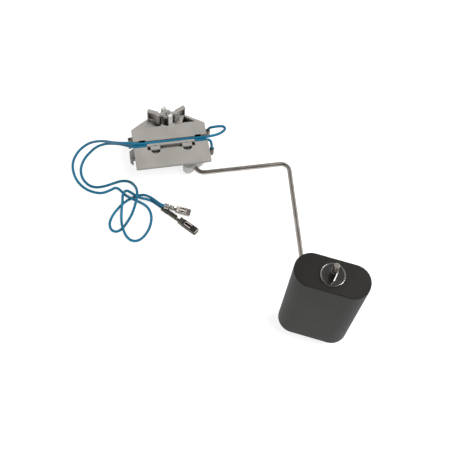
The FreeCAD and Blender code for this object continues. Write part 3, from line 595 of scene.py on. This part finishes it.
# %% Lever
lever_finish, tree, shader = new_finish("milky_white_plastic", roughness=0.4)
grain = add_group(tree, grain_group, Grain_Scale=3800.0, Drift_Scale=120.0)
drift_colour(tree, shader, grain, dark=(220, 221, 217), light=(233, 233, 230))
add_bump(tree, shader, grain.outputs["Grain"], strength=0.15, distance=0.00003)
shader.inputs["Subsurface Weight"].default_value = 0.25
shader.inputs["Subsurface Radius"].default_value = (1.0, 0.9, 0.8)
shader.inputs["Subsurface Scale"].default_value = 0.0015
dress(lever_finish, "wiper_lever")

# %% [markdown]
# ## Black float foam
# The float is a block of closed-cell rubber foam with a smooth skin, so fuel stays out of it. Its
# cells are under half a millimetre wide, far too many to model, so a Voronoi pattern dents the
# surface. A slow drift keeps the black from looking flat, and a low specular level keeps it dull.

# %% Float
foam_finish, tree, shader = new_finish("black_float_foam", roughness=0.6)
shader.inputs["Specular IOR Level"].default_value = 0.25
cells = add_group(tree, cell_group, Cell_Scale=2600.0)
skin = add_group(tree, grain_group, Grain_Scale=1200.0, Drift_Scale=38.0)
drift_colour(tree, shader, skin, dark=(34, 33, 31), light=(45, 43, 41))
add_bump(tree, shader, cells.outputs["Cells"], strength=0.2, distance=0.00002)
dress(foam_finish, "float")

# %% [markdown]
# ## Drawn steel of the arm
# The arm is steel wire, drawn through a die and bent cold. The die leaves it satin, so the grain
# moves both roughness and bump. A metal mirrors most at its edges, and there the white floor would
# wash the wire out, so a low specular tint holds that back.

# %% Arm
arm_finish, tree, shader = new_finish("drawn_arm_steel", roughness=0.5, metallic=1.0)
shader.inputs["Specular Tint"].default_value = (0.30, 0.28, 0.26, 1.0)
grain = add_group(tree, grain_group, Grain_Scale=2600.0, Drift_Scale=140.0)
arm_colour = drift_colour(tree, shader, grain, dark=(166, 159, 152), light=(190, 183, 176))
arm_roughness = drift_roughness(tree, shader, grain.outputs["Grain"], low=0.28, high=0.40)
add_bump(tree, shader, grain.outputs["Grain"], strength=0.2, distance=0.00003)
dress(arm_finish, "float_arm")

# %% [markdown]
# ## Polished pivot end, with a painted highlight
# The end of the wire turns in the housing's boss, and wear polishes it, which a lower roughness
# gives. Its colour is painted lighter there too, a painted highlight on the worn steel. A second
# material would need its own faces, and a solid's mesh is left as it is, so a mask by the distance
# from the pivot's axis does both inside the same finish.

# %% Pivot end of the arm, polished by wear, with a painted highlight
PIVOT_REACH = 2.5
WORN_ROUGHNESS = 0.14


def pivot_distance(tree):
    place = tree.nodes.new("ShaderNodeTexCoord")
    flat = tree.nodes.new("ShaderNodeVectorMath")
    flat.operation = "MULTIPLY"
    flat.inputs[1].default_value = (1.0, 1.0, 0.0)
    length = tree.nodes.new("ShaderNodeVectorMath")
    length.operation = "LENGTH"
    tree.links.new(place.outputs["Object"], flat.inputs[0])
    tree.links.new(flat.outputs["Vector"], length.inputs[0])
    return length.outputs["Value"]


def paint_over(tree, shader, colour, mask, paint):
    over = tree.nodes.new("ShaderNodeMix")
    over.data_type = "RGBA"
    over.inputs["B"].default_value = linear(*paint)
    tree.links.new(mask, over.inputs["Factor"])
    tree.links.new(colour, over.inputs["A"])
    tree.links.new(over.outputs["Result"], shader.inputs["Base Color"])


pivot = math_node(tree, "LESS_THAN", pivot_distance(tree), PIVOT_REACH * MM)
worn = tree.nodes.new("ShaderNodeMix")
worn.inputs["B"].default_value = WORN_ROUGHNESS
tree.links.new(pivot, worn.inputs["Factor"])
tree.links.new(arm_roughness, worn.inputs["A"])
tree.links.new(worn.outputs["Result"], shader.inputs["Roughness"])
# Painted highlight: the pivot end's colour is painted lighter.
paint_over(tree, shader, arm_colour, pivot, paint=(222, 220, 216))
print("pivot end polished within mm:", PIVOT_REACH)

# %% [markdown]
# ## Polished nut
# The push nut is pressed from polished strip, with a rolled rim and a hub that grips the arm's pin.
# Its flat disc mirrors the dark room overhead and its rim the white horizon, which draws the bright
# ring of the picture. A painted ring would look wrong from other sides, so a low roughness leaves
# that to the room.

# %% Nut
nut_finish, tree, shader = new_finish("polished_nut_steel", roughness=0.12, metallic=1.0)
grain = add_group(tree, grain_group, Grain_Scale=1800.0, Drift_Scale=200.0)
drift_colour(tree, shader, grain, dark=(150, 148, 146), light=(180, 178, 176))
drift_roughness(tree, shader, grain.outputs["Grain"], low=0.09, high=0.18)
dress(nut_finish, "push_nut")

# %% [markdown]
# ## Blue lead insulation
# The insulation is extruded over the strands, smooth and a little waxy. A glossy shader would lay
# the white floor over both sides of so thin a tube and bleach it, so the specular level is low and
# the blue stays full.

# %% Leads
lead_finish, tree, shader = new_finish("blue_insulation", roughness=0.34)
shader.inputs["Specular IOR Level"].default_value = 0.35
grain = add_group(tree, grain_group, Grain_Scale=1500.0, Drift_Scale=70.0)
drift_colour(tree, shader, grain, dark=(11, 100, 132), light=(28, 124, 158))
add_bump(tree, shader, grain.outputs["Grain"], strength=0.1, distance=0.00003)
coat(lead_finish, upper_lead_cord, lower_lead_cord)

# %% [markdown]
# ## Tinned sheet and sleeve steel
# The short receptacle and its sleeve are tinned, and their colour is painted lighter all over, partly
# the tin's own and partly a painted highlight. The long one is dull, and its sleeve is dark steel.
# They could be one grey metal, told apart here by colour and gloss. One recipe of drifting colour and
# uneven gloss serves them all, each with its own values.

# %% Receptacles
def sheet_finish(name, roughness, grain, drift, dark, light, metallic=1.0, tint=None, uneven=None):
    finish, tree, shader = new_finish(name, roughness, metallic)
    pattern = add_group(tree, grain_group, Grain_Scale=grain, Drift_Scale=drift)
    drift_colour(tree, shader, pattern, dark, light)
    if tint:
        shader.inputs["Specular Tint"].default_value = tint
    if uneven:
        drift_roughness(tree, shader, pattern.outputs["Grain"], *uneven)
    return finish


# The short receptacle's tin colour is painted lighter, partly a painted highlight.
tin_painted_light = sheet_finish(
    "tinned_sheet_painted_light", roughness=0.38, grain=3000.0, drift=260.0,
    dark=(176, 170, 162), light=(204, 199, 191),
    tint=(0.40, 0.38, 0.36, 1.0), uneven=(0.36, 0.5),
)
dull_tin = sheet_finish(
    "dull_tinned_sheet", roughness=0.5, grain=3000.0, drift=260.0,
    dark=(118, 116, 105), light=(142, 140, 128),
    tint=(0.30, 0.29, 0.27, 1.0), uneven=(0.42, 0.6),
)
sleeve_steel = sheet_finish(
    "dark_sleeve_steel", roughness=0.3, grain=3400.0, drift=300.0,
    dark=(102, 98, 93), light=(128, 124, 118),
    tint=(0.35, 0.34, 0.32, 1.0), uneven=(0.24, 0.38),
)
dress(tin_painted_light, "lower_lead_terminal", "lower_lead_sleeve")
dress(dull_tin, "upper_lead_terminal")
dress(sleeve_steel, "upper_lead_sleeve")

# %% [markdown]
# ## Trim of the receptacles
# Rims, lips and the spring tongue are painted pale, painted highlights where the bent strip catches
# the light. The slits are dark bars that paint the shade inside them. The band and lip of the short
# mouth are painted brown. The bars are too small to mirror anything, so their finishes aren't
# metallic and keep a plain roughness. The strands alone are bare metal.

# %% Painted rim highlights, strands, painted slit shade and brown mouth
# Painted highlight: pale, not metallic, on the rims, lips and tongue.
rim_highlight_paint = sheet_finish(
    "painted_rim_highlight", roughness=0.55, grain=3000.0, drift=400.0,
    dark=(196, 184, 178), light=(222, 212, 206), metallic=0.0,
)
bare_strand = sheet_finish(
    "tinned_strand", roughness=0.35, grain=4000.0, drift=400.0,
    dark=(150, 132, 112), light=(196, 180, 160),
)
# Painted shade: near black, for the bars over the slits.
painted_slit_shade = sheet_finish(
    "painted_slit_shade", roughness=0.8, grain=3400.0, drift=300.0,
    dark=(16, 14, 13), light=(26, 23, 21), metallic=0.0,
)
brown_band_finish = sheet_finish(
    "brown_band_tin", roughness=0.5, grain=3400.0, drift=900.0,
    dark=(82, 70, 65), light=(118, 104, 98), metallic=0.0,
)
brown_lip = sheet_finish(
    "brown_mouth_lip", roughness=0.5, grain=3400.0, drift=600.0,
    dark=(38, 26, 23), light=(58, 42, 38), metallic=0.0,
)
coat(rim_highlight_paint, long_rim, long_lip, short_tongue)
coat(bare_strand, long_strands, short_strands)
coat(painted_slit_shade, short_slits)
coat(brown_band_finish, short_band)
coat(brown_lip, short_lip)

# %% [markdown]
# ## Metal inside the body
# Lugs, wiper spring, rivets and contacts are small stampings of brass and spring metal. Little of
# them shows in the picture, and more when the sender is turned over. Their finishes follow the
# recipe of the receptacles, with an even gloss, because they are so small.

# %% Lugs, spring and contacts
lug_brass = sheet_finish(
    "dull_lug_brass", roughness=0.42, grain=2400.0, drift=320.0,
    dark=(98, 90, 80), light=(140, 130, 118),
)
spring_strip = sheet_finish(
    "rolled_spring_strip", roughness=0.3, grain=2800.0, drift=300.0,
    dark=(178, 150, 98), light=(204, 178, 124),
)
contact_metal = sheet_finish(
    "contact_button_metal", roughness=0.2, grain=2800.0, drift=400.0,
    dark=(196, 186, 160), light=(220, 212, 190),
)
dress(lug_brass, "upper_contact_lug", "lower_contact_lug")
dress(spring_strip, "wiper_spring", "left_spring_rivet", "right_spring_rivet")
dress(contact_metal, "inner_wiper_contact", "outer_wiper_contact")

# %% [markdown]
# ## Resistor card
# The card is pressed and fired ceramic, pale and matt. A plain white would match the lever too
# closely, so it gets a warm grey that drifts as a fired surface does.

# %% Card
card_finish, tree, shader = new_finish("fired_card", roughness=0.5)
grain = add_group(tree, grain_group, Grain_Scale=3000.0, Drift_Scale=150.0)
card_colour = drift_colour(tree, shader, grain, dark=(216, 214, 206), light=(228, 226, 220))
dress(card_finish, "resistor_card")

# %% [markdown]
# ## Printed tracks
# The contacts run on two tracks of resistor ink, printed on the card's underside and fired. The ink
# is hundredths of a millimetre thick, so it is painted. Both tracks are rings about the pivot:
# taking the distance from the ring halfway between them, without its sign, lets one test mark both.

# %% Tracks under the card
TRACK_RADII = (13.6, 18.2)
TRACK_HALF_WIDTH = 0.9
INK_DEPTH = 0.05

track_middle = sum(TRACK_RADII) / 2
card_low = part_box("resistor_card")[0]
from_middle = math_node(tree, "SUBTRACT", pivot_distance(tree), track_middle * MM)
from_middle = math_node(tree, "ABSOLUTE", from_middle)
from_track = math_node(tree, "SUBTRACT", from_middle, (TRACK_RADII[1] - track_middle) * MM)
from_track = math_node(tree, "ABSOLUTE", from_track)
on_track = math_node(tree, "LESS_THAN", from_track, TRACK_HALF_WIDTH * MM)
place = tree.nodes.new("ShaderNodeTexCoord")
height = tree.nodes.new("ShaderNodeSeparateXYZ")
tree.links.new(place.outputs["Object"], height.inputs["Vector"])
underneath = math_node(tree, "LESS_THAN", height.outputs["Z"], card_low[2] + INK_DEPTH * MM)
inked = math_node(tree, "MULTIPLY", on_track, underneath)
paint_over(tree, shader, card_colour, inked, paint=(54, 50, 47))
print("tracks at radii in mm:", TRACK_RADII)

# %% [markdown]
# ## Finish

# %% Bring the view layer up to date
bpy.context.view_layer.update()
